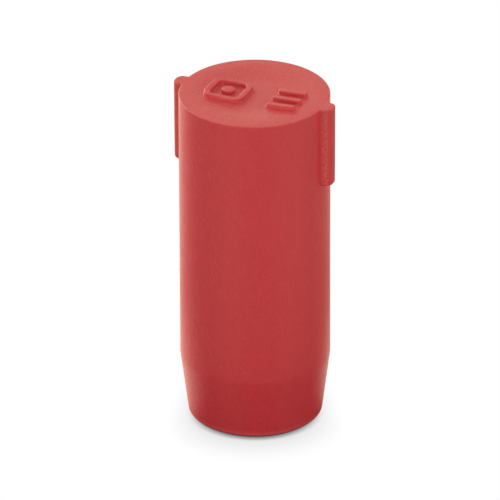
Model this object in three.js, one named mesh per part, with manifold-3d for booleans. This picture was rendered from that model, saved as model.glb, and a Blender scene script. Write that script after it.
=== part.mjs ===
// Sealing plug for an 8 mm hole: a solid moulded shank with a tapered lead-in at its lower end, two
// ribs at its upper end that stop it against the face it is pushed into, and two raised figures on
// its top face. It is one moulding, so it is one mesh.
//
// Units are millimetres. +Z runs along the plug from the lead-in to the top face, the origin is the
// centre of the bottom face, and the ribs lie along +X and -X.
import * as THREE from "three";
import { mergeVertices } from "three/addons/utils/BufferGeometryUtils.js";
import Module from "manifold-3d";

// Shank
const DIAMETER = 8;
const LENGTH = 18.65;
const RIM_ROUND = 0.04;
const TIP_ROUND = 0.12;
const SHANK_SEGMENTS = 96;
const ROUND_STEPS = 4;

// Lead-in: the tapered end that finds the hole
const LEAD_IN_LENGTH = 3.4;
const TIP_DIAMETER = 7.15;
const LEAD_IN_BLEND = 2.5;

// Gate recess in the bottom face, with the stub that the sprue leaves standing below flush
const GATE_RECESS_DIAMETER = 2.4;
const GATE_RECESS_DEPTH = 0.5;
const GATE_STUB_DIAMETER = 1.1;
const GATE_STUB_HEIGHT = 0.3;

// Stop ribs, flush with the top face
const RIB_LENGTH = 4.5;
const RIB_WIDTH = 1.0;
const RIB_REACH = 4.53;
const RIB_CORNER = 0.4;
const RIB_EDGE_ROUND = 0.14;
const RIB_ROOT_DEPTH = 0.6;

// Raised figures on the top face
const FIGURE_HEIGHT = 0.2;
const FIGURE_SINK = 0.1;
const STROKE = 0.32;
const FRAME_SIDE = 2.25;
const FRAME_CORNER = 0.6;
const FRAME_CENTRE = new THREE.Vector2(-1.4, -0.2);
const PIP_DIAMETER = 0.7;
const BAR_LENGTH = 1.6;
const BAR_PITCH = 0.85;
const BAR_COUNT = 3;
const BARS_CENTRE = new THREE.Vector2(1.9, -0.1);
const CURVE_SEGMENTS = 8;

const wasm = await Module();
wasm.setup();

// A closed geometry as a manifold-3d solid, its vertices merged by place alone.
function solidOf(geometry) {
  const bare = geometry.clone();
  bare.deleteAttribute("normal");
  bare.deleteAttribute("uv");
  const merged = mergeVertices(bare, 1e-4);
  return new wasm.Manifold(
    new wasm.Mesh({
      numProp: 3,
      vertProperties: new Float32Array(merged.attributes.position.array),
      triVerts: new Uint32Array(merged.index.array),
    }),
  );
}

// A manifold-3d solid as a geometry that three.js can draw.
function geometryOf(solid) {
  const mesh = solid.getMesh();
  const geometry = new THREE.BufferGeometry();
  geometry.setAttribute("position", new THREE.BufferAttribute(mesh.vertProperties, 3));
  geometry.setIndex(new THREE.BufferAttribute(mesh.triVerts, 1));
  geometry.computeVertexNormals();
  return geometry;
}

// Points of an arc, in the plane of a lathe profile.
function arcPoints(centreX, centreY, radius, fromDegrees, toDegrees) {
  return Array.from({ length: ROUND_STEPS + 1 }, (_, step) => {
    const degrees = fromDegrees + ((toDegrees - fromDegrees) * step) / ROUND_STEPS;
    const angle = THREE.MathUtils.degToRad(degrees);
    return new THREE.Vector2(
      centreX + radius * Math.cos(angle),
      centreY + radius * Math.sin(angle),
    );
  });
}

// The shank turned about its axis: gate recess, bottom face, lead-in, straight wall, top face.
function shank() {
  const radius = DIAMETER / 2;
  const tipRadius = TIP_DIAMETER / 2;
  const taper = Math.atan((radius - tipRadius) / LEAD_IN_LENGTH);
  const taperDegrees = THREE.MathUtils.radToDeg(taper);
  const tipInset = (TIP_ROUND * (1 - Math.sin(taper))) / Math.cos(taper);
  const blendRise = LEAD_IN_BLEND * Math.tan(taper / 2);
  const stubEnd = GATE_RECESS_DEPTH - GATE_STUB_HEIGHT;
  const profile = [
    new THREE.Vector2(0, stubEnd),
    new THREE.Vector2(GATE_STUB_DIAMETER / 2, stubEnd),
    new THREE.Vector2(GATE_STUB_DIAMETER / 2, GATE_RECESS_DEPTH),
    new THREE.Vector2(GATE_RECESS_DIAMETER / 2, GATE_RECESS_DEPTH),
    new THREE.Vector2(GATE_RECESS_DIAMETER / 2, 0),
    ...arcPoints(tipRadius - tipInset, TIP_ROUND, TIP_ROUND, -90, -taperDegrees),
    ...arcPoints(radius - LEAD_IN_BLEND, LEAD_IN_LENGTH + blendRise, LEAD_IN_BLEND, -taperDegrees, 0),
    ...arcPoints(radius - RIM_ROUND, LENGTH - RIM_ROUND, RIM_ROUND, 0, 90),
    new THREE.Vector2(0, LENGTH),
  ];
  return new THREE.LatheGeometry(profile, SHANK_SEGMENTS).rotateX(Math.PI / 2);
}

// The +X rib: a tab with rounded outer corners and a rounded lower edge, its root buried in the shank.
// It is cut off square at the top face.
function rib() {
  const root = DIAMETER / 2 - RIB_ROOT_DEPTH;
  const side = RIB_WIDTH / 2;
  const corner = RIB_REACH - RIB_CORNER;
  const outline = new THREE.Shape();
  outline.moveTo(root, -side);
  outline.lineTo(corner, -side);
  outline.absarc(corner, RIB_CORNER - side, RIB_CORNER, -Math.PI / 2, 0);
  outline.absarc(corner, side - RIB_CORNER, RIB_CORNER, 0, Math.PI / 2);
  outline.lineTo(root, side);
  outline.closePath();
  const tab = new THREE.ExtrudeGeometry(outline, {
    depth: RIB_LENGTH,
    bevelThickness: RIB_EDGE_ROUND,
    bevelSize: RIB_EDGE_ROUND,
    bevelOffset: -RIB_EDGE_ROUND,
    bevelSegments: ROUND_STEPS,
    curveSegments: CURVE_SEGMENTS,
  }).translate(0, 0, LENGTH - RIB_LENGTH + RIB_EDGE_ROUND);
  return solidOf(tab).trimByPlane([0, 0, -1], -LENGTH);
}

// A rectangle with rounded corners, centred on a point.
function roundedRectangle(centre, width, height, corner) {
  const x = width / 2 - corner;
  const y = height / 2 - corner;
  const outline = new THREE.Path();
  outline.absarc(centre.x + x, centre.y + y, corner, 0, Math.PI / 2);
  outline.absarc(centre.x - x, centre.y + y, corner, Math.PI / 2, Math.PI);
  outline.absarc(centre.x - x, centre.y - y, corner, Math.PI, 1.5 * Math.PI);
  outline.absarc(centre.x + x, centre.y - y, corner, 1.5 * Math.PI, 2 * Math.PI);
  outline.closePath();
  return outline;
}

// An outline raised on the top face, with an optional opening inside it.
function raised(outline, opening) {
  const shape = new THREE.Shape(outline.getPoints(CURVE_SEGMENTS));
  if (opening) shape.holes.push(new THREE.Path(opening.getPoints(CURVE_SEGMENTS)));
  return new THREE.ExtrudeGeometry(shape, {
    depth: FIGURE_SINK + FIGURE_HEIGHT,
    bevelEnabled: false,
  }).translate(0, 0, LENGTH - FIGURE_SINK);
}

// A rounded square frame around a round pip.
function frameAndPip() {
  const innerSide = FRAME_SIDE - 2 * STROKE;
  return [
    raised(
      roundedRectangle(FRAME_CENTRE, FRAME_SIDE, FRAME_SIDE, FRAME_CORNER),
      roundedRectangle(FRAME_CENTRE, innerSide, innerSide, FRAME_CORNER - STROKE),
    ),
    raised(roundedRectangle(FRAME_CENTRE, PIP_DIAMETER, PIP_DIAMETER, PIP_DIAMETER / 2)),
  ];
}

// A ladder of short parallel bars.
function bars() {
  return Array.from({ length: BAR_COUNT }, (_, index) => {
    const rise = (index - (BAR_COUNT - 1) / 2) * BAR_PITCH;
    const centre = new THREE.Vector2(BARS_CENTRE.x, BARS_CENTRE.y + rise);
    return raised(roundedRectangle(centre, BAR_LENGTH, STROKE, STROKE / 2));
  });
}

const ribs = [rib(), rib().rotate([0, 0, 180])];
const figures = [...frameAndPip(), ...bars()].map(solidOf);
const moulding = [...ribs, ...figures].reduce(
  (solid, addition) => solid.add(addition),
  solidOf(shank()),
);

const redPlastic = new THREE.MeshStandardMaterial({
  color: 0xb73b3f,
  roughness: 0.55,
  metalness: 0,
});

const plug = new THREE.Mesh(geometryOf(moulding), redPlastic);
plug.name = "sealing_plug";

const part = new THREE.Group();
part.add(plug);

export default part;
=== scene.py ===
import math

import bmesh
import bpy
import numpy as np
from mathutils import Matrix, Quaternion, Vector, geometry, noise


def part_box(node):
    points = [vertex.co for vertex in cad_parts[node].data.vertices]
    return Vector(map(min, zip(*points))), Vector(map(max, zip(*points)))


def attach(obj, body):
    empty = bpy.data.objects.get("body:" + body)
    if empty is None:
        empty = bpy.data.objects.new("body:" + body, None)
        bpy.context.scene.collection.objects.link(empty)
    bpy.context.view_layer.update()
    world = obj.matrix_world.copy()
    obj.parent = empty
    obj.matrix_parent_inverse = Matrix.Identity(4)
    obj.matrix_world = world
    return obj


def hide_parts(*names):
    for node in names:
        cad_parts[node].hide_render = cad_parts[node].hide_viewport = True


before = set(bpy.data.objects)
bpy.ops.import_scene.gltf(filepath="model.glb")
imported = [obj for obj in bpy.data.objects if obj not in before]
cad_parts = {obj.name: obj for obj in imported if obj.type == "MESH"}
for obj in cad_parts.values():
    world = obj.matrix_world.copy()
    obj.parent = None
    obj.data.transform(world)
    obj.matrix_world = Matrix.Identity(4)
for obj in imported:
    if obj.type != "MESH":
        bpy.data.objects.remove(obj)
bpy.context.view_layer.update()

# The looks of a sealing plug for an 8 mm hole: one red plastic moulding on a pale studio floor.
# Its mesh is built in millimetres and shrunk to metres once it is whole.
MM = 0.001

# Sizes in millimetres. Three of them come from the frame.
FIGURE_HEIGHT = 0.2
high_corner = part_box("sealing_plug")[1]
SHANK_RADIUS = high_corner.y / MM
RIB_REACH = high_corner.x / MM
LENGTH = high_corner.z / MM - FIGURE_HEIGHT

RIM_ROUND = 0.04
TIP_RADIUS = 3.575
TIP_ROUND = 0.12
LEAD_IN_LENGTH = 3.4
LEAD_IN_BLEND = 2.5

RIB_LENGTH = 4.5
RIB_WIDTH = 1.0
RIB_CORNER = 0.4
RIB_FILLET = 0.05
RIB_EDGE_ROUND = 0.14
RIB_DRAFT = 0.02

GATE_RECESS_RADIUS = 1.2
GATE_RECESS_DEPTH = 0.5
GATE_STUB_RADIUS = 0.55
GATE_STUB_HEIGHT = 0.3
GATE_EDGE_ROUND = 0.08

STROKE = 0.32
FRAME_SIDE = 2.25
FRAME_CORNER = 0.6
FRAME_CENTRE = (-1.4, -0.2)
PIP_RADIUS = 0.35
BAR_LENGTH = 1.6
BAR_PITCH = 0.85
BAR_COUNT = 3
BARS_CENTRE = (1.9, -0.1)
FIGURE_FLARE = 0.03
FIGURE_CREST = 0.05
FIGURE_DRAFT = 0.02

# How finely the moulding is divided
PLAN_STEP = 0.1
HEIGHT_STEP = 0.15
FLAT_STEP = 0.2
ROUND_STEPS = 6
CORNER_STEPS = 8
SAME_PLACE = 1e-6
CDT_INSIDE_WITH_HOLES = 2
SHARP_DEGREES = 32

# The sink of the top face, and the wander of the moulded wall
DISH_DEPTH = 0.1
DISH_FLOOR_RADIUS = 1.6
DISH_RADIUS = 3.5
SETTLED_RADIUS = 3.0
SETTLE_DEPTH = 0.01
SETTLE_SIZE = 2.2
SETTLE_STRETCH = 0.35

# Colours of the plastic (linear RGBA)
RED = (0.60, 0.036, 0.056, 1)
RED_DEEP = (0.53, 0.029, 0.048, 1)
# A paler red painted on the wall at a slant, as a glow of light at its edges
RED_PAINTED_GLOW = (0.82, 0.036, 0.056, 1)
# A paler red for scuffs, specks and grain, also used for painted bands and painted light on the rib sides
RED_SCUFFED_AND_PAINTED_LIGHT = (0.62, 0.12, 0.11, 1)
# A paler red painted as a highlight along the rounded lower edge
RED_PAINTED_HIGHLIGHT = (0.78, 0.11, 0.13, 1)

# How fine the plastic's patterns are, in features per millimetre
CLOUDS_PER_MM = 0.8
CLOUD_STRETCH = 10
BLOTCHES_PER_MM = 3.0
BLOTCH_STRETCH = 2.5
MOTTLE_PER_MM = 11.0
GRAIN_PER_MM = 13.0
SPECKS_PER_MM = 5.5
CRESTS_PER_MM = 12.0
RIB_CRESTS_PER_MM = 16.0
PATCHES_PER_MM = 0.35

# How much of a paler red each of the plastic's marks mixes in; some of the marks are painted light
LEAD_IN_GRIT = 0.02
WALL_GRIT = 0.09
TOP_GRIT = 0.36
# On the rib sides the pale grain also paints light into the shaded corner beside the shank
RIB_GRIT_AND_PAINTED_LIGHT = 0.8
# How much painted glow the wall takes at a slant
PAINTED_GLOW_SHARE = 0.36
# How much painted highlight the lower edge takes
PAINTED_HIGHLIGHT_SHARE = 0.35
SCRATCH_SHARE = 0.2
SPECK_SHARE = 0.2
# How much of the painted reflection bands the wall takes
PAINTED_BAND_SHARE = 0.07

# The plastic's relief and polish, and where its marks lie. Angles are in degrees round the shank, from
# +X anticlockwise.
GRAIN_DEPTH = 0.012
SCRATCH_DEPTH = 0.3
ROUGHNESS = (0.35, 0.45)
SCRATCH_POLISH = 0.08
# The height band, in millimetres, of the painted highlight along the lower edge
PAINTED_HIGHLIGHT_HEIGHT = (0.1, 0.4)
LEAD_IN_FADE = 0.3
SCRATCHED_SIDE = -112
SCRATCHED_REACH = 70
SCRATCHES = [
    {"slant": -33, "per_mm": 9.0, "stretch": 6.0, "threshold": 0.6},
    {"slant": -24, "per_mm": 12.0, "stretch": 9.0, "threshold": 0.61},
]
# Painted reflection bands: how many round the shank, and how far they are turned, in degrees
PAINTED_BANDS_ROUND = 7
PAINTED_BANDS_TURN = 97

# The studio. Azimuths are counted from the camera's, anticlockwise seen from above, in degrees. A panel
# reaches as far to either side of its azimuth, and from a low to a high elevation.
LIGHT_COLOUR = (1.0, 0.98, 0.79, 1)
TENT_CLOTH = 0.33
PANEL_BLUR = 10.0
PANELS = {
    "skirt": {"azimuth": 0, "reach": 200, "low": -20, "high": 20, "radiance": 0.95},
    "front_card": {"azimuth": 0, "reach": 75, "low": -20, "high": 25, "radiance": 1.2},
    "back_left_window": {"azimuth": 218, "reach": 22, "low": -20, "high": 37, "radiance": 4.8},
    "back_panel": {"azimuth": 140, "reach": 90, "low": 53, "high": 120, "radiance": 1.3},
    "roof": {"azimuth": 0, "reach": 200, "low": 80, "high": 120, "radiance": 1.3},
}

# The floor's light on the plug, by the distance from its axis in millimetres: from the front, and from
# behind, where the lit sector narrows with distance
FLOOR_HALF = 1500
FRONT_GLOW = {"near": 3.0, "far": 26.0, "radiance": (0.06, 0.39)}
BACK_GLOW = {"near": 6.0, "far": 16.0, "azimuth": 189, "reach": (84, 42), "blur": 40, "radiance": 1.68}

# The shadow that the camera sees on the floor, in pairs from the plug's sides to its front
SHADOW_REACH = (0.95, 2.9)
SHADOW_DEPTH = (0.19, 0.45)
CONTACT_REACH = (0.25, 0.5)
CONTACT_DEPTH = 1.9
CONTACT_FALLOFF = 2.0
SHADING_SAMPLES = 16

# The camera
CAMERA_AZIMUTH = 22.8
CAMERA_ELEVATION = 27.62
CAMERA_DISTANCE = 507.2
CAMERA_TARGET_HEIGHT = 9.2
CAMERA_SENSOR = 36.0
CAMERA_LENS = 688.1
CAMERA_SHIFT = (-0.0098, 0.0047)
CAMERA_ROLL = -0.2


def arc(centre, radius, from_degrees, to_degrees, steps, radial=1.0):
    """Plan points round a centre, from one angle to another, and their outward normals."""
    angles = np.radians(np.linspace(from_degrees, to_degrees, steps + 1))
    directions = np.stack([np.cos(angles), np.sin(angles)], axis=1)
    return np.array(centre) + radius * directions, radial * directions


def rise(start, end, step):
    """Evenly spaced values from start to end, both included, at most a step apart."""
    return np.linspace(start, end, max(1, math.ceil(abs(end - start) / step)) + 1)


def rib_quarter():
    """Half of the +X rib's outline, on its +Y side, from the rib's middle back to the shank."""
    half = RIB_WIDTH / 2
    corner_centre = np.array([RIB_REACH - RIB_CORNER, half - RIB_CORNER])
    reach = SHANK_RADIUS + RIB_FILLET
    fillet_centre = np.array([math.sqrt(reach**2 - (half + RIB_FILLET) ** 2), half + RIB_FILLET])
    fillet_end = math.degrees(math.atan2(fillet_centre[1], fillet_centre[0])) - 180
    face = np.stack([np.full(2, RIB_REACH), np.linspace(0, corner_centre[1], 3)[:2]], axis=1)
    pieces = [
        (face, np.tile([1.0, 0.0], (2, 1))),
        arc(corner_centre, RIB_CORNER, 0, 90, CORNER_STEPS),
        arc(fillet_centre, RIB_FILLET, -90, fillet_end, ROUND_STEPS, radial=-1.0),
    ]
    points = np.concatenate([points for points, _ in pieces])
    normals = np.concatenate([normals for _, normals in pieces])
    return points, normals


def collar_outline():
    """The outline of the shank with its two ribs, anticlockwise from the middle of the +X rib, with its
    normals. The first value returned marks the points that belong to a rib or its fillets."""
    rib_points, rib_normals = rib_quarter()
    root = math.degrees(math.atan2(rib_points[-1, 1], rib_points[-1, 0]))
    steps = math.ceil(math.radians(90 - root) * SHANK_RADIUS / PLAN_STEP)
    wall_points, wall_normals = arc((0, 0), SHANK_RADIUS, root, 90, steps)
    points = np.concatenate([rib_points, wall_points[1:]])
    normals = np.concatenate([rib_normals, wall_normals[1:]])
    on_rib = np.arange(len(points)) < len(rib_points)
    mirrored = slice(-2, 0, -1)
    for flip in (np.array([-1.0, 1.0]), np.array([1.0, -1.0])):
        tail = slice(-2, None, -1) if flip[0] < 0 else mirrored
        points = np.concatenate([points, points[tail] * flip])
        normals = np.concatenate([normals, normals[tail] * flip])
        on_rib = np.concatenate([on_rib, on_rib[tail]])
    return on_rib, points, normals


def rounded_rectangle(centre, half_x, half_y, corner, grow):
    """Outline points of a rectangle with rounded corners, anticlockwise, grown outwards by a distance."""
    x, y = half_x - corner, half_y - corner
    arcs = []
    for index, (side_x, side_y) in enumerate([(x, y), (-x, y), (-x, -y), (x, -y)]):
        middle = (centre[0] + side_x, centre[1] + side_y)
        points, _ = arc(middle, corner + grow, 90 * index, 90 * (index + 1), CORNER_STEPS)
        arcs.append(points)
    outline = np.concatenate(arcs)
    steps = np.linalg.norm(np.roll(outline, -1, axis=0) - outline, axis=1)
    return outline[steps > SAME_PLACE]


def spread_points(loops, step):
    """A triangular lattice of points inside the first closed loop and outside the others, clear of all."""
    starts = np.concatenate(loops)
    ends = np.concatenate([np.roll(loop, -1, axis=0) for loop in loops])
    sides = ends - starts
    lengths = np.maximum((sides**2).sum(axis=1), SAME_PLACE)
    low, high = starts.min(axis=0), starts.max(axis=0)
    points = []
    for row, y in enumerate(np.arange(low[1], high[1], step * math.sqrt(3) / 2)):
        for x in np.arange(low[0] + step / 2 * (row % 2), high[0], step):
            across = np.array([x, y]) - starts
            share = np.clip((across * sides).sum(axis=1) / lengths, 0, 1)
            gap = np.linalg.norm(across - share[:, None] * sides, axis=1).min()
            beside = (starts[:, 1] > y) != (ends[:, 1] > y)
            drop = (y - starts[beside, 1]) / sides[beside, 1]
            crossings = np.sum(x < starts[beside, 0] + drop * sides[beside, 0])
            if crossings % 2 == 1 and gap > step / 2:
                points.append((x, y))
    return points


class Moulding:
    """Rings of vertices, in millimetres, and the faces between them."""

    def __init__(self):
        self.points = []
        self.faces = []

    def ring(self, plan, height):
        """Adds a closed ring of plan points at one height, and returns its vertex numbers."""
        first = len(self.points)
        heights = np.broadcast_to(height, len(plan))
        self.points += [(x, y, z) for (x, y), z in zip(plan, heights)]
        return list(range(first, len(self.points)))

    def band(self, start, end):
        """Joins two rings by faces, which look outwards if the solid is on the left from start to end."""
        for index in range(len(start)):
            following = (index + 1) % len(start)
            corners = (start[index], start[following], end[following], end[index])
            distinct = tuple(dict.fromkeys(corners))
            if len(distinct) > 2:
                self.faces.append(distinct)

    def path(self, start, rings):
        """Joins a ring to each of a row of (plan, height) rings in turn, and returns the last one."""
        for plan, height in rings:
            following = self.ring(plan, height)
            self.band(start, following)
            start = following
        return start

    def flat(self, rings, height):
        """Fills the plan between an outer ring and the rings inside it."""
        numbers = [number for ring in rings for number in ring]
        loops = [np.array([self.points[number][:2] for number in ring]) for ring in rings]
        inside = spread_points(loops, FLAT_STEP)
        numbers += self.ring(inside, height)
        plan = [Vector(point) for point in [*np.concatenate(loops), *inside]]
        borders = []
        for ring in rings:
            first = sum(len(border) for border in borders)
            borders.append(list(range(first, first + len(ring))))
        filled = geometry.delaunay_2d_cdt(plan, [], borders, CDT_INSIDE_WITH_HOLES, SAME_PLACE)
        triangles, sources = filled[2], filled[3]
        for triangle in triangles:
            self.faces.append(tuple(numbers[sources[corner][0]] for corner in triangle))


def lathe_profile():
    """The turned surfaces below the ribs as (radius, height) points, from the gate stub out and up."""
    taper = math.atan((SHANK_RADIUS - TIP_RADIUS) / LEAD_IN_LENGTH)
    tip_inset = TIP_ROUND * (1 - math.sin(taper)) / math.cos(taper)
    blend_height = LEAD_IN_LENGTH + LEAD_IN_BLEND * math.tan(taper / 2)
    stub_end = GATE_RECESS_DEPTH - GATE_STUB_HEIGHT
    edge = GATE_EDGE_ROUND
    tilt = math.degrees(taper)

    def corner(radius, height, size, start, end):
        return arc((radius, height), size, start, end, ROUND_STEPS)[0]

    stub = corner(GATE_STUB_RADIUS - edge, stub_end + edge, edge, -90, 0)
    floor = [(GATE_STUB_RADIUS, GATE_RECESS_DEPTH)]
    wall = corner(GATE_RECESS_RADIUS - edge, GATE_RECESS_DEPTH - edge, edge, 90, 0)
    mouth = corner(GATE_RECESS_RADIUS + edge, edge, edge, 180, 270)
    tip = corner(TIP_RADIUS - tip_inset, TIP_ROUND, TIP_ROUND, -90, -tilt)
    blend = corner(SHANK_RADIUS - LEAD_IN_BLEND, blend_height, LEAD_IN_BLEND, -tilt, 0)
    bottom_radii = rise(mouth[-1][0], tip[0][0], 0.3)[1:-1]
    bottom = [(radius, 0.0) for radius in bottom_radii]
    taper_steps = len(rise(tip[-1][1], blend[0][1], HEIGHT_STEP))
    lead_in = np.linspace(tip[-1], blend[0], taper_steps)[1:-1]
    straight = [(SHANK_RADIUS, z) for z in rise(blend[-1][1], LENGTH - RIB_LENGTH, HEIGHT_STEP)[1:-1]]
    parts = (stub, floor, wall, mouth, bottom, tip, lead_in, blend, straight)
    return [tuple(point) for part in parts for point in part]


def raised_profile():
    """A raised figure's side as (growth, height) points, from the foot of its flare to its crest."""
    foot = arc((FIGURE_DRAFT + FIGURE_FLARE, FIGURE_FLARE), FIGURE_FLARE, 270, 180, ROUND_STEPS)[0]
    crest = arc((-FIGURE_CREST, FIGURE_HEIGHT - FIGURE_CREST), FIGURE_CREST, 0, 90, ROUND_STEPS)[0]
    return np.concatenate([foot, crest])


def raise_outline(moulding, outline):
    """Sweeps the raised profile round an outline. Returns its foot and crest rings."""
    profile = raised_profile()
    foot = moulding.ring(outline(profile[0][0]), LENGTH)
    crest = moulding.path(foot, [(outline(grow), LENGTH + height) for grow, height in profile[1:]])
    return foot, crest


def raised_figures(moulding):
    """The frame with its pip, and the bars. Returns the rings that bound the top face and the frame's
    floor."""
    outer_half = FRAME_SIDE / 2
    inner_half = outer_half - STROKE
    frame_foot, frame_crest = raise_outline(
        moulding,
        lambda grow: rounded_rectangle(FRAME_CENTRE, outer_half, outer_half, FRAME_CORNER, grow),
    )
    inner = [
        (
            rounded_rectangle(FRAME_CENTRE, inner_half, inner_half, FRAME_CORNER - STROKE, -grow),
            LENGTH + height,
        )
        for grow, height in reversed(raised_profile())
    ]
    frame_floor = moulding.path(frame_crest, inner)

    solid_outlines = [
        lambda grow: rounded_rectangle(FRAME_CENTRE, PIP_RADIUS, PIP_RADIUS, PIP_RADIUS, grow)
    ]
    for index in range(BAR_COUNT):
        centre = (BARS_CENTRE[0], BARS_CENTRE[1] + (index - (BAR_COUNT - 1) / 2) * BAR_PITCH)
        solid_outlines.append(
            lambda grow, centre=centre: rounded_rectangle(
                centre, BAR_LENGTH / 2, STROKE / 2, STROKE / 2, grow
            )
        )
    feet = []
    for outline in solid_outlines:
        foot, crest = raise_outline(moulding, outline)
        moulding.faces.append(tuple(crest))
        feet.append(foot)
    pip_foot, *bar_feet = feet
    return [frame_foot, *bar_feet], [frame_floor, pip_foot]


def build_plug():
    """The whole moulding, from the gate stub round to the raised figures."""
    moulding = Moulding()
    on_rib, outline, normals = collar_outline()
    rib_bottom = LENGTH - RIB_LENGTH

    # Under each rib the outline runs along the shank, its points evenly spread
    turns = np.unwrap(np.arctan2(outline[:, 1], outline[:, 0]))
    count = len(outline)
    for middle in (0, count // 2):
        reach = int(np.sum(on_rib)) // 4
        numbers = (np.arange(-reach, reach + 1) + middle) % count
        half_angle = abs(math.remainder(turns[numbers[-1]] - turns[middle], math.tau))
        turns[numbers] = turns[middle] + np.linspace(-half_angle, half_angle, len(numbers))
    compass = np.stack([np.cos(turns), np.sin(turns)], axis=1)

    profile = lathe_profile()
    stub = moulding.ring(compass * profile[0][0], profile[0][1])
    hub = moulding.ring([(0.0, 0.0)], profile[0][1])
    moulding.band(hub * count, stub)
    last_turned = moulding.path(stub, [(compass * radius, height) for radius, height in profile[1:]])
    shank_ring = moulding.path(last_turned, [(compass * SHANK_RADIUS, rib_bottom)])

    def drafted_outline(height, inset=0.0):
        """The outline at a height, its ribs drawn in by their draft and an inset, the shank as it is."""
        draft = RIB_DRAFT * (LENGTH - RIM_ROUND - height) / RIB_LENGTH
        plan = outline - normals * (inset + draft)
        distance = np.linalg.norm(plan, axis=1, keepdims=True)
        return plan * np.maximum(1.0, SHANK_RADIUS / distance)

    # The ribs' flat lower ends, whose points off the ribs are the shank's own
    edge = [
        (RIB_EDGE_ROUND * (1 - math.cos(turn)), RIB_EDGE_ROUND * (1 - math.sin(turn)))
        for turn in np.linspace(0, math.pi / 2, ROUND_STEPS + 1)
    ]
    end_plan = drafted_outline(rib_bottom, edge[-1][0])
    rib_ends = iter(moulding.ring(end_plan[on_rib], rib_bottom))
    under_ring = [next(rib_ends) if rib else number for number, rib in zip(shank_ring, on_rib)]
    moulding.band(shank_ring, under_ring)

    rim_start = LENGTH - RIM_ROUND
    rings = [
        (drafted_outline(rib_bottom + height, inset), rib_bottom + height)
        for inset, height in reversed(edge[:-1])
    ]
    for height in rise(rib_bottom + RIB_EDGE_ROUND, rim_start, HEIGHT_STEP)[1:]:
        rings.append((drafted_outline(height), height))
    for turn in np.linspace(0, math.pi / 2, ROUND_STEPS + 1)[1:]:
        inset = RIM_ROUND * (1 - math.cos(turn))
        rings.append((outline - normals * inset, rim_start + RIM_ROUND * math.sin(turn)))
    rim = moulding.path(under_ring, rings)

    top_feet, floor_feet = raised_figures(moulding)
    moulding.flat([rim, *top_feet], LENGTH)
    moulding.flat(floor_feet, LENGTH)
    return moulding


def plug_piece():
    """The plug's mesh object, smooth except where its faces meet at an edge."""
    moulding = build_plug()
    mesh = bpy.data.meshes.new("plug_moulding")
    points = [Vector(settle(point)) * MM for point in moulding.points]
    mesh.from_pydata(points, [], moulding.faces)
    surface = bmesh.new()
    surface.from_mesh(mesh)
    for face in surface.faces:
        face.smooth = True
    for edge in surface.edges:
        edge.smooth = edge.calc_face_angle() < math.radians(SHARP_DEGREES)
    surface.to_mesh(mesh)
    surface.free()
    plug = bpy.data.objects.new("plug_moulding", mesh)
    bpy.context.scene.collection.objects.link(plug)
    weighting = plug.modifiers.new("flat_faces_stay_flat", "WEIGHTED_NORMAL")
    weighting.keep_sharp = True
    return plug


def settle(point):
    """Moves a point as cooling does: the top face sinks in, and the wall wanders by a few microns."""
    x, y, z = point
    radius = math.hypot(x, y)
    if z > LENGTH - RIM_ROUND:
        share = (DISH_RADIUS - radius) / (DISH_RADIUS - DISH_FLOOR_RADIUS)
        share = min(1.0, max(0.0, share))
        z -= DISH_DEPTH * share * share * (3 - 2 * share)
    if radius < SETTLED_RADIUS:
        return (x, y, z)
    place = Vector((x, y, z * SETTLE_STRETCH)) / SETTLE_SIZE
    grown = 1 + SETTLE_DEPTH * noise.noise(place) / radius
    return (x * grown, y * grown, z)


# ---- the material ----


class Nodes:
    """Short ways to add nodes to a material and link them."""

    def __init__(self, tree):
        self.tree = tree

    def add(self, kind, inputs=None, **settings):
        """Adds a node, sets its properties, and sets or links its inputs."""
        node = self.tree.nodes.new(kind)
        for name, value in settings.items():
            setattr(node, name, value)
        for name, value in (inputs or {}).items():
            if isinstance(value, bpy.types.NodeSocket):
                self.tree.links.new(value, node.inputs[name])
            else:
                node.inputs[name].default_value = value
        return node

    def math(self, operation, *values):
        """A Math node's output."""
        return self.add("ShaderNodeMath", dict(enumerate(values)), operation=operation).outputs[0]

    def fit(self, value, low, high, start=0.0, end=1.0):
        """Maps low..high to start..end smoothly, held at both ends."""
        inputs = {"Value": value, "From Min": low, "From Max": high, "To Min": start, "To Max": end}
        return self.add("ShaderNodeMapRange", inputs, interpolation_type="SMOOTHSTEP").outputs["Result"]

    def noise(self, place, per_mm, detail=2.0, roughness=0.5):
        """A noise texture's value at a place in millimetres, with features 1 / per_mm across."""
        inputs = {"Vector": place, "Scale": per_mm, "Detail": detail, "Roughness": roughness}
        return self.add("ShaderNodeTexNoise", inputs).outputs["Fac"]

    def aside(self, turn, azimuth):
        """How far a turn is from an azimuth, to either side, in degrees."""
        return self.math("PINGPONG", self.math("SUBTRACT", turn, azimuth), 180.0)

    def mix(self, share, first, second):
        """A mix of two colours."""
        node = self.add("ShaderNodeMix", data_type="RGBA")
        for index, value in ((0, share), (6, first), (7, second)):
            if isinstance(value, bpy.types.NodeSocket):
                self.tree.links.new(value, node.inputs[index])
            else:
                node.inputs[index].default_value = value
        return node.outputs[2]


def pigment(nodes, place):
    """The red of the plastic: clouds and blotches drawn out along the flow of the melt, and a mottle."""

    def drawn_out(stretch):
        flow = {"Vector": place, "Scale": (1.0, 1.0, 1 / stretch)}
        return nodes.add("ShaderNodeMapping", flow).outputs[0]

    clouds = nodes.fit(nodes.noise(drawn_out(CLOUD_STRETCH), CLOUDS_PER_MM), 0.3, 0.7, 0.4, 0.6)
    blotches = nodes.noise(drawn_out(BLOTCH_STRETCH), BLOTCHES_PER_MM, detail=1.0)
    blotches = nodes.fit(blotches, 0.3, 0.7, -0.15, 0.15)
    mottle = nodes.fit(nodes.noise(place, MOTTLE_PER_MM, detail=1.0), 0.2, 0.8, -0.35, 0.35)
    tint = nodes.math("ADD", nodes.math("ADD", clouds, blotches), mottle)
    return nodes.mix(tint, RED_DEEP, RED)


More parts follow.
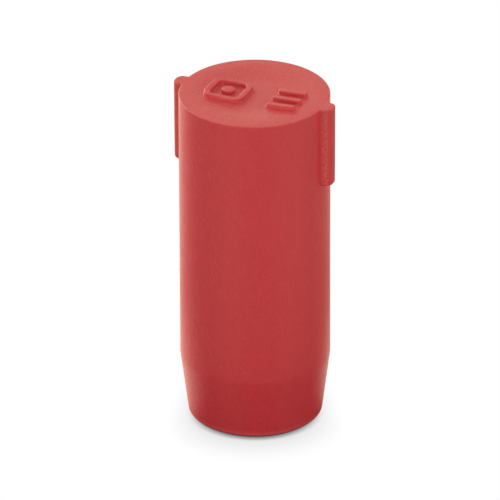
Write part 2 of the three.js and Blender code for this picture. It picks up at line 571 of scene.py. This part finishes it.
def pale_crests(nodes, place, height, on_top, rib_side):
    """The grain's pale crests: least on the lead-in, most on the rib sides, where they paint light into
    shade.
    """
    per_mm = nodes.fit(rib_side, 0.0, 1.0, CRESTS_PER_MM, RIB_CRESTS_PER_MM)
    crests = nodes.fit(nodes.noise(place, per_mm, detail=1.0), 0.4, 0.6)
    fade_end = LEAD_IN_LENGTH + LEAD_IN_FADE
    grit_and_painted_light = nodes.fit(height, LEAD_IN_LENGTH, fade_end, LEAD_IN_GRIT, WALL_GRIT)
    grit_and_painted_light = nodes.fit(on_top, 0.0, 1.0, grit_and_painted_light, TOP_GRIT)
    grit_and_painted_light = nodes.math("MULTIPLY_ADD", rib_side, RIB_GRIT_AND_PAINTED_LIGHT, grit_and_painted_light)
    return nodes.math("MULTIPLY", crests, grit_and_painted_light)


def scratches(nodes, place, turn, height):
    """Slanting scratches on one side of the wall, in patches."""
    around = nodes.math("MULTIPLY", turn, SHANK_RADIUS)
    unrolled = nodes.add("ShaderNodeCombineXYZ", {"X": around, "Y": height}).outputs[0]
    lines = 0.0
    for layer in SCRATCHES:
        slanted = {"Vector": unrolled, "Rotation": (0, 0, math.radians(layer["slant"]))}
        slanted = nodes.add("ShaderNodeMapping", slanted).outputs[0]
        drawn_out = {"Vector": slanted, "Scale": (1.0, 1 / layer["stretch"], 1.0)}
        drawn_out = nodes.add("ShaderNodeMapping", drawn_out).outputs[0]
        grooves = nodes.noise(drawn_out, layer["per_mm"], detail=1.0)
        grooves = nodes.fit(grooves, layer["threshold"], layer["threshold"] + 0.08)
        lines = nodes.math("MAXIMUM", lines, grooves)
    off_side = nodes.aside(nodes.math("DEGREES", turn), SCRATCHED_SIDE)
    scratched = nodes.fit(off_side, 0.0, SCRATCHED_REACH, 1.0, 0.0)
    patches = nodes.fit(nodes.noise(place, PATCHES_PER_MM, detail=1.0), 0.35, 0.6, 0.3, 1.0)
    return nodes.math("MULTIPLY", lines, nodes.math("MULTIPLY", patches, scratched))


def red_plastic():
    """Matte red moulded plastic with a spark-eroded grain, scratches, painted bands and painted edge
    light.
    """
    material = bpy.data.materials.new("red_plastic")
    material.use_nodes = True
    tree = material.node_tree
    tree.nodes.clear()
    nodes = Nodes(tree)

    # The place in millimetres, and its turn and distance round the shank's axis
    metres = nodes.add("ShaderNodeTexCoord").outputs["Object"]
    scaled = {0: metres, "Scale": 1 / MM}
    place = nodes.add("ShaderNodeVectorMath", scaled, operation="SCALE").outputs[0]
    split = nodes.add("ShaderNodeSeparateXYZ", {0: place}).outputs
    height = split["Z"]
    turn = nodes.math("ARCTAN2", split["Y"], split["X"])
    across = nodes.add("ShaderNodeCombineXYZ", {"X": split["X"], "Y": split["Y"]}).outputs[0]
    from_axis = nodes.add("ShaderNodeVectorMath", {0: across}, operation="LENGTH").outputs["Value"]

    # Where it is: on the top face, on a rib, on a rib's side
    facing = nodes.add("ShaderNodeNewGeometry").outputs["True Normal"]
    faced = nodes.add("ShaderNodeSeparateXYZ", {0: facing}).outputs
    on_top = nodes.fit(faced["Z"], 0.5, 0.9)
    off_top = nodes.math("SUBTRACT", 1.0, on_top)
    on_rib = nodes.fit(from_axis, SHANK_RADIUS + SETTLE_DEPTH, SHANK_RADIUS + RIB_FILLET)
    sideways = nodes.fit(nodes.math("ABSOLUTE", faced["Y"]), 0.7, 0.98)
    rib_side = nodes.math("MULTIPLY", on_rib, sideways)

    # Painted glow: the wall's colour turns a paler red at a slant, standing in for light through its skin
    slant = nodes.add("ShaderNodeLayerWeight", {"Blend": 0.5}).outputs["Facing"]
    on_wall = nodes.math("MULTIPLY", off_top, nodes.math("SUBTRACT", 1.0, on_rib))
    painted_glow = nodes.math("MULTIPLY", nodes.fit(slant, 0.35, 0.8), on_wall)

    # Upright bands of painted reflection, pale specks, scratches, and a painted highlight on the lower
    # edge
    phase = nodes.math("MULTIPLY", turn, PAINTED_BANDS_ROUND)
    wave = nodes.math("COSINE", nodes.math("SUBTRACT", phase, math.radians(PAINTED_BANDS_TURN)))
    painted_bands = nodes.math("MULTIPLY", nodes.fit(wave, -1.0, 1.0), off_top)
    specks = nodes.fit(nodes.noise(place, SPECKS_PER_MM, detail=0.0), 0.81, 0.84)
    scratch = scratches(nodes, place, turn, height)
    painted_highlight = nodes.fit(height, *PAINTED_HIGHLIGHT_HEIGHT, 1.0, 0.0)

    colour = pigment(nodes, place)
    colour = nodes.mix(nodes.math("MULTIPLY", painted_glow, PAINTED_GLOW_SHARE), colour, RED_PAINTED_GLOW)
    for marks, share in ((scratch, SCRATCH_SHARE), (specks, SPECK_SHARE), (painted_bands, PAINTED_BAND_SHARE)):
        colour = nodes.mix(nodes.math("MULTIPLY", marks, share), colour, RED_SCUFFED_AND_PAINTED_LIGHT)
    # The grain's pale crests; on the rib sides they also paint light into the shade beside the shank
    colour = nodes.mix(pale_crests(nodes, place, height, on_top, rib_side), colour, RED_SCUFFED_AND_PAINTED_LIGHT)
    # The lower edge takes a painted highlight
    colour = nodes.mix(nodes.math("MULTIPLY", painted_highlight, PAINTED_HIGHLIGHT_SHARE), colour, RED_PAINTED_HIGHLIGHT)

    grain = nodes.noise(place, GRAIN_PER_MM, detail=2.0, roughness=0.6)
    roughness = nodes.fit(grain, 0.3, 0.7, *ROUGHNESS)
    roughness = nodes.math("MULTIPLY_ADD", scratch, -SCRATCH_POLISH, roughness)
    relief = nodes.math("MULTIPLY_ADD", scratch, -SCRATCH_DEPTH, grain)
    relief = {"Height": relief, "Distance": GRAIN_DEPTH * MM, "Strength": 1.0}
    bump = nodes.add("ShaderNodeBump", relief).outputs[0]

    surface = {"Base Color": colour, "Roughness": roughness, "Normal": bump, "IOR": 1.5}
    shader = nodes.add("ShaderNodeBsdfPrincipled", surface)
    nodes.add("ShaderNodeOutputMaterial", {"Surface": shader.outputs[0]})
    return material


# ---- the studio ----


def bearing(nodes, vector):
    """How far a horizontal direction turns from the camera's side, in degrees, as a node value."""
    split = nodes.add("ShaderNodeSeparateXYZ", {0: vector})
    backwards = nodes.math("MULTIPLY", split.outputs["Y"], -1.0)
    turn = nodes.math("DEGREES", nodes.math("ARCTAN2", split.outputs["X"], backwards))
    return nodes.math("SUBTRACT", turn, CAMERA_AZIMUTH)


def floor_material():
    """White paper lit from behind. It throws light back on the plug, least from the shaded front; the
    camera sees it clip to white, but for the contact shadow, which is deepest at the front."""
    material = bpy.data.materials.new("studio_paper")
    material.use_nodes = True
    material.cycles.emission_sampling = "NONE"
    tree = material.node_tree
    tree.nodes.clear()
    nodes = Nodes(tree)
    place = nodes.add("ShaderNodeNewGeometry").outputs["Position"]
    turn = bearing(nodes, place)

    def openness(reach, depth):
        distance = nodes.math("MULTIPLY", reach, MM)
        shading = nodes.add("ShaderNodeAmbientOcclusion", {"Distance": distance}, samples=SHADING_SAMPLES)
        return nodes.math("POWER", shading.outputs["AO"], depth)

    away = nodes.add("ShaderNodeVectorMath", {0: place}, operation="LENGTH").outputs["Value"]
    away = nodes.math("DIVIDE", away, MM)
    front = nodes.fit(away, FRONT_GLOW["near"], FRONT_GLOW["far"], *FRONT_GLOW["radiance"])
    reach = nodes.fit(away, BACK_GLOW["near"], BACK_GLOW["far"], *BACK_GLOW["reach"])
    beyond = nodes.math("SUBTRACT", nodes.aside(turn, BACK_GLOW["azimuth"]), reach)
    behind = nodes.fit(beyond, -BACK_GLOW["blur"], BACK_GLOW["blur"], BACK_GLOW["radiance"], 0.0)
    cast = nodes.math("MAXIMUM", front, behind)

    facing = nodes.math("MAXIMUM", nodes.math("COSINE", nodes.math("RADIANS", turn)), 0.0)
    wide_reach = nodes.fit(facing, 0.0, 1.0, *SHADOW_REACH)
    wide_depth = nodes.fit(facing, 0.0, 1.0, *SHADOW_DEPTH)
    contact_reach = nodes.fit(facing, 0.0, 1.0, *CONTACT_REACH)
    contact_depth = nodes.math("MULTIPLY", nodes.math("POWER", facing, CONTACT_FALLOFF), CONTACT_DEPTH)
    contact = openness(contact_reach, contact_depth)
    seen = nodes.math("MULTIPLY", openness(wide_reach, wide_depth), contact)

    glow = nodes.add("ShaderNodeEmission", {"Color": LIGHT_COLOUR, "Strength": cast})
    white = nodes.add("ShaderNodeEmission", {"Color": (1, 1, 1, 1), "Strength": seen})
    ray = nodes.add("ShaderNodeLightPath").outputs["Is Camera Ray"]
    surface = nodes.add("ShaderNodeMixShader", {0: ray, 1: glow.outputs[0], 2: white.outputs[0]})
    nodes.add("ShaderNodeOutputMaterial", {"Surface": surface.outputs[0]})
    return material


def floor():
    """A sheet of paper under the plug, wide enough to fill every view."""
    mesh = bpy.data.meshes.new("studio_floor")
    half = FLOOR_HALF * MM
    corners = [(-half, -half, 0), (half, -half, 0), (half, half, 0), (-half, half, 0)]
    mesh.from_pydata(corners, [], [(0, 1, 2, 3)])
    sheet = bpy.data.objects.new("studio_floor", mesh)
    bpy.context.scene.collection.objects.link(sheet)
    mesh.materials.append(floor_material())


def sky():
    """A soft tent with brighter panels round the plug, plain white where the camera looks at it."""
    world = bpy.data.worlds.new("studio_tent")
    world.use_nodes = True
    tree = world.node_tree
    tree.nodes.clear()
    nodes = Nodes(tree)
    direction = nodes.add("ShaderNodeTexCoord").outputs["Generated"]
    turn = bearing(nodes, direction)
    height = nodes.add("ShaderNodeSeparateXYZ", {0: direction}).outputs["Z"]
    lift = nodes.math("DEGREES", nodes.math("ARCSINE", height))

    strength = TENT_CLOTH
    for panel in PANELS.values():
        low, high = panel["low"], panel["high"]
        reach = panel["reach"]
        sideways = nodes.aside(turn, panel["azimuth"])
        across = nodes.fit(sideways, reach - PANEL_BLUR, reach + PANEL_BLUR, 1.0, 0.0)
        above = nodes.fit(lift, low - PANEL_BLUR / 2, low + PANEL_BLUR / 2)
        below = nodes.fit(lift, high - PANEL_BLUR / 2, high + PANEL_BLUR / 2, 1.0, 0.0)
        window = nodes.math("MULTIPLY", across, nodes.math("MULTIPLY", above, below))
        strength = nodes.math("MULTIPLY_ADD", window, panel["radiance"], strength)

    tent = nodes.add("ShaderNodeBackground", {"Color": LIGHT_COLOUR, "Strength": strength})
    plain = nodes.add("ShaderNodeBackground", {"Color": (1, 1, 1, 1)})
    ray = nodes.add("ShaderNodeLightPath").outputs["Is Camera Ray"]
    surface = nodes.add("ShaderNodeMixShader", {0: ray, 1: tent.outputs[0], 2: plain.outputs[0]})
    nodes.add("ShaderNodeOutputWorld", {"Surface": surface.outputs[0]})
    bpy.context.scene.world = world


def direction_to(azimuth, elevation):
    """The direction from the plug to a viewer; at azimuth 0 the viewer looks along +Y."""
    turn, lift = math.radians(azimuth), math.radians(elevation)
    return Vector((math.sin(turn) * math.cos(lift), -math.cos(turn) * math.cos(lift), math.sin(lift)))


def camera():
    """A long lens from the front right of the ribs' line, above the plug."""
    lens = bpy.data.cameras.new("camera")
    lens.lens = CAMERA_LENS
    lens.sensor_width = CAMERA_SENSOR
    lens.shift_x, lens.shift_y = CAMERA_SHIFT
    lens.clip_start = 10 * MM
    lens.clip_end = 5000 * MM
    viewer = bpy.data.objects.new("camera", lens)
    bpy.context.scene.collection.objects.link(viewer)
    away = direction_to(CAMERA_AZIMUTH, CAMERA_ELEVATION)
    viewer.location = (Vector((0, 0, CAMERA_TARGET_HEIGHT)) + away * CAMERA_DISTANCE) * MM
    viewer.rotation_mode = "QUATERNION"
    roll = Quaternion((0, 0, 1), math.radians(CAMERA_ROLL))
    viewer.rotation_quaternion = away.to_track_quat("Z", "Y") @ roll
    bpy.context.scene.camera = viewer


plug = plug_piece()
plug.data.materials.append(red_plastic())
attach(plug, "root")
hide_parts("sealing_plug")

floor()
sky()
camera()
bpy.context.scene.view_settings.view_transform = "Standard"
